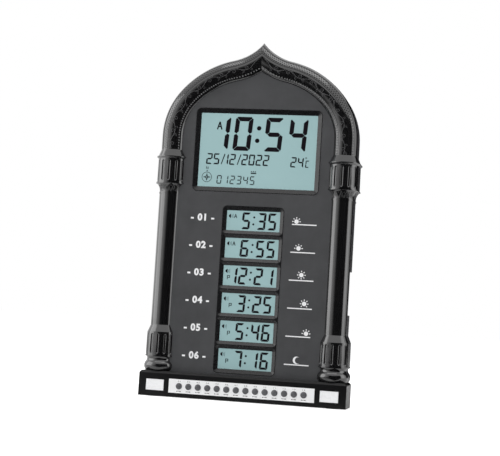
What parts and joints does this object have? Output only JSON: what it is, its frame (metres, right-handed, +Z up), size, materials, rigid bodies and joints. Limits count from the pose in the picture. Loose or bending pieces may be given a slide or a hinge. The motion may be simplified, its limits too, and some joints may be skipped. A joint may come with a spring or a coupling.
{
  "type": "azan clock",
  "caption": "Arched azan clock between turned columns on a plinth, with large and small LCD windows, push buttons, lamp windows, side controls and a hinged battery door.",
  "frame": {"origin": "centre of the footprint, on the table", "axes": "+Z up, the front faces -Y, +X to the right seen from the front"},
  "size_m": [0.236, 0.0456, 0.409],
  "materials": {
    "case_black": "satin black",
    "plinth_black": "satin black",
    "trim_gloss": "polished black with a grey sheen",
    "panel_grey": "fine matte dark grey",
    "bezel_black": "semi-gloss",
    "display_glass": "pale teal liquid crystal behind glass",
    "button_dark": "dark polished domes",
    "strip_white": "smooth white",
    "lamp_milk": "milky diffuser",
    "board_green": "solder mask",
    "steel": "zinc plated",
    "pad_rubber": "matte",
    "control_black": "fine matte",
    "light_guide": "clear frosted",
    "ribbon_grey": "film",
    "cone_paper": "pressed paper",
    "cell_wrap": "plain wrap"
  },
  "bodies": {
    "case": {"front_shell": "case_black", "front_panel": "panel_grey", "arch_moulding": "trim_gloss", "column_left": "trim_gloss", "column_right": "trim_gloss", "rear_cover": "case_black", "plinth_housing": "plinth_black", "plinth_bottom": "plinth_black", "rubber_pads": "pad_rubber", "key_strip": "strip_white", "lamp_window_left": "lamp_milk", "lamp_window_right": "lamp_milk", "main_bezel": "bezel_black", "main_display": "display_glass", "row_bezel": "bezel_black", "row_displays": "display_glass", "power_jack": "control_black", "audio_jack": "control_black", "battery_cells": "cell_wrap", "battery_contacts": "steel", "tact_switches": "control_black", "lamp_leds": "light_guide", "board_ribbon": "ribbon_grey", "main_backlight": "light_guide", "main_zebras": "pad_rubber", "main_board": "board_green", "row_backlights": "light_guide", "row_zebras": "pad_rubber", "row_board": "board_green", "board_screws": "steel", "trim_screws": "steel", "case_screws": "steel", "base_screws": "steel", "plinth_screws": "steel", "speaker_frame": "steel", "speaker_magnet": "steel", "speaker_cone": "cone_paper", "speaker_clips": "steel", "speaker_screws": "steel", "side_board": "board_green", "volume_pot": "control_black", "slide_switch": "control_black", "key_board": "board_green"},
    "key_01": {"key_01": "button_dark"},
    "key_02": {"key_02": "button_dark"},
    "key_03": {"key_03": "button_dark"},
    "key_04": {"key_04": "button_dark"},
    "key_05": {"key_05": "button_dark"},
    "key_06": {"key_06": "button_dark"},
    "key_07": {"key_07": "button_dark"},
    "key_08": {"key_08": "button_dark"},
    "key_09": {"key_09": "button_dark"},
    "key_10": {"key_10": "button_dark"},
    "key_11": {"key_11": "button_dark"},
    "key_12": {"key_12": "button_dark"},
    "key_13": {"key_13": "button_dark"},
    "key_14": {"key_14": "button_dark"},
    "battery_door": {"battery_door": "case_black"},
    "volume_wheel": {"volume_wheel": "control_black"},
    "slide_knob": {"slide_knob": "control_black"}
  },
  "joints": [
    {"name": "key_01_press", "type": "slide", "parent": "case", "child": "key_01", "axis": [0, 1, 0], "range_m": [0, 0.0009], "stiffness_N_per_m": 400, "springref_m": -0.0005},
    {"name": "key_02_press", "type": "slide", "parent": "case", "child": "key_02", "axis": [0, 1, 0], "range_m": [0, 0.0009], "stiffness_N_per_m": 400, "springref_m": -0.0005},
    {"name": "key_03_press", "type": "slide", "parent": "case", "child": "key_03", "axis": [0, 1, 0], "range_m": [0, 0.0009], "stiffness_N_per_m": 400, "springref_m": -0.0005},
    {"name": "key_04_press", "type": "slide", "parent": "case", "child": "key_04", "axis": [0, 1, 0], "range_m": [0, 0.0009], "stiffness_N_per_m": 400, "springref_m": -0.0005},
    {"name": "key_05_press", "type": "slide", "parent": "case", "child": "key_05", "axis": [0, 1, 0], "range_m": [0, 0.0009], "stiffness_N_per_m": 400, "springref_m": -0.0005},
    {"name": "key_06_press", "type": "slide", "parent": "case", "child": "key_06", "axis": [0, 1, 0], "range_m": [0, 0.0009], "stiffness_N_per_m": 400, "springref_m": -0.0005},
    {"name": "key_07_press", "type": "slide", "parent": "case", "child": "key_07", "axis": [0, 1, 0], "range_m": [0, 0.0009], "stiffness_N_per_m": 400, "springref_m": -0.0005},
    {"name": "key_08_press", "type": "slide", "parent": "case", "child": "key_08", "axis": [0, 1, 0], "range_m": [0, 0.0009], "stiffness_N_per_m": 400, "springref_m": -0.0005},
    {"name": "key_09_press", "type": "slide", "parent": "case", "child": "key_09", "axis": [0, 1, 0], "range_m": [0, 0.0009], "stiffness_N_per_m": 400, "springref_m": -0.0005},
    {"name": "key_10_press", "type": "slide", "parent": "case", "child": "key_10", "axis": [0, 1, 0], "range_m": [0, 0.0009], "stiffness_N_per_m": 400, "springref_m": -0.0005},
    {"name": "key_11_press", "type": "slide", "parent": "case", "child": "key_11", "axis": [0, 1, 0], "range_m": [0, 0.0009], "stiffness_N_per_m": 400, "springref_m": -0.0005},
    {"name": "key_12_press", "type": "slide", "parent": "case", "child": "key_12", "axis": [0, 1, 0], "range_m": [0, 0.0009], "stiffness_N_per_m": 400, "springref_m": -0.0005},
    {"name": "key_13_press", "type": "slide", "parent": "case", "child": "key_13", "axis": [0, 1, 0], "range_m": [0, 0.0009], "stiffness_N_per_m": 400, "springref_m": -0.0005},
    {"name": "key_14_press", "type": "slide", "parent": "case", "child": "key_14", "axis": [0, 1, 0], "range_m": [0, 0.0009], "stiffness_N_per_m": 400, "springref_m": -0.0005},
    {"name": "battery_door_hinge", "type": "hinge", "parent": "case", "child": "battery_door", "pos_m": [0, 0.0218, 0.0608], "axis": [-1, 0, 0], "range_deg": [0, 95]},
    {"name": "volume_turn", "type": "hinge", "parent": "case", "child": "volume_wheel", "pos_m": [0.1017, 0.0058, 0.122], "axis": [0, 1, 0], "range_deg": [-135, 135]},
    {"name": "switch_slide", "type": "slide", "parent": "case", "child": "slide_knob", "axis": [0, 0, 1], "range_m": [0, 0.003]}
  ]
}
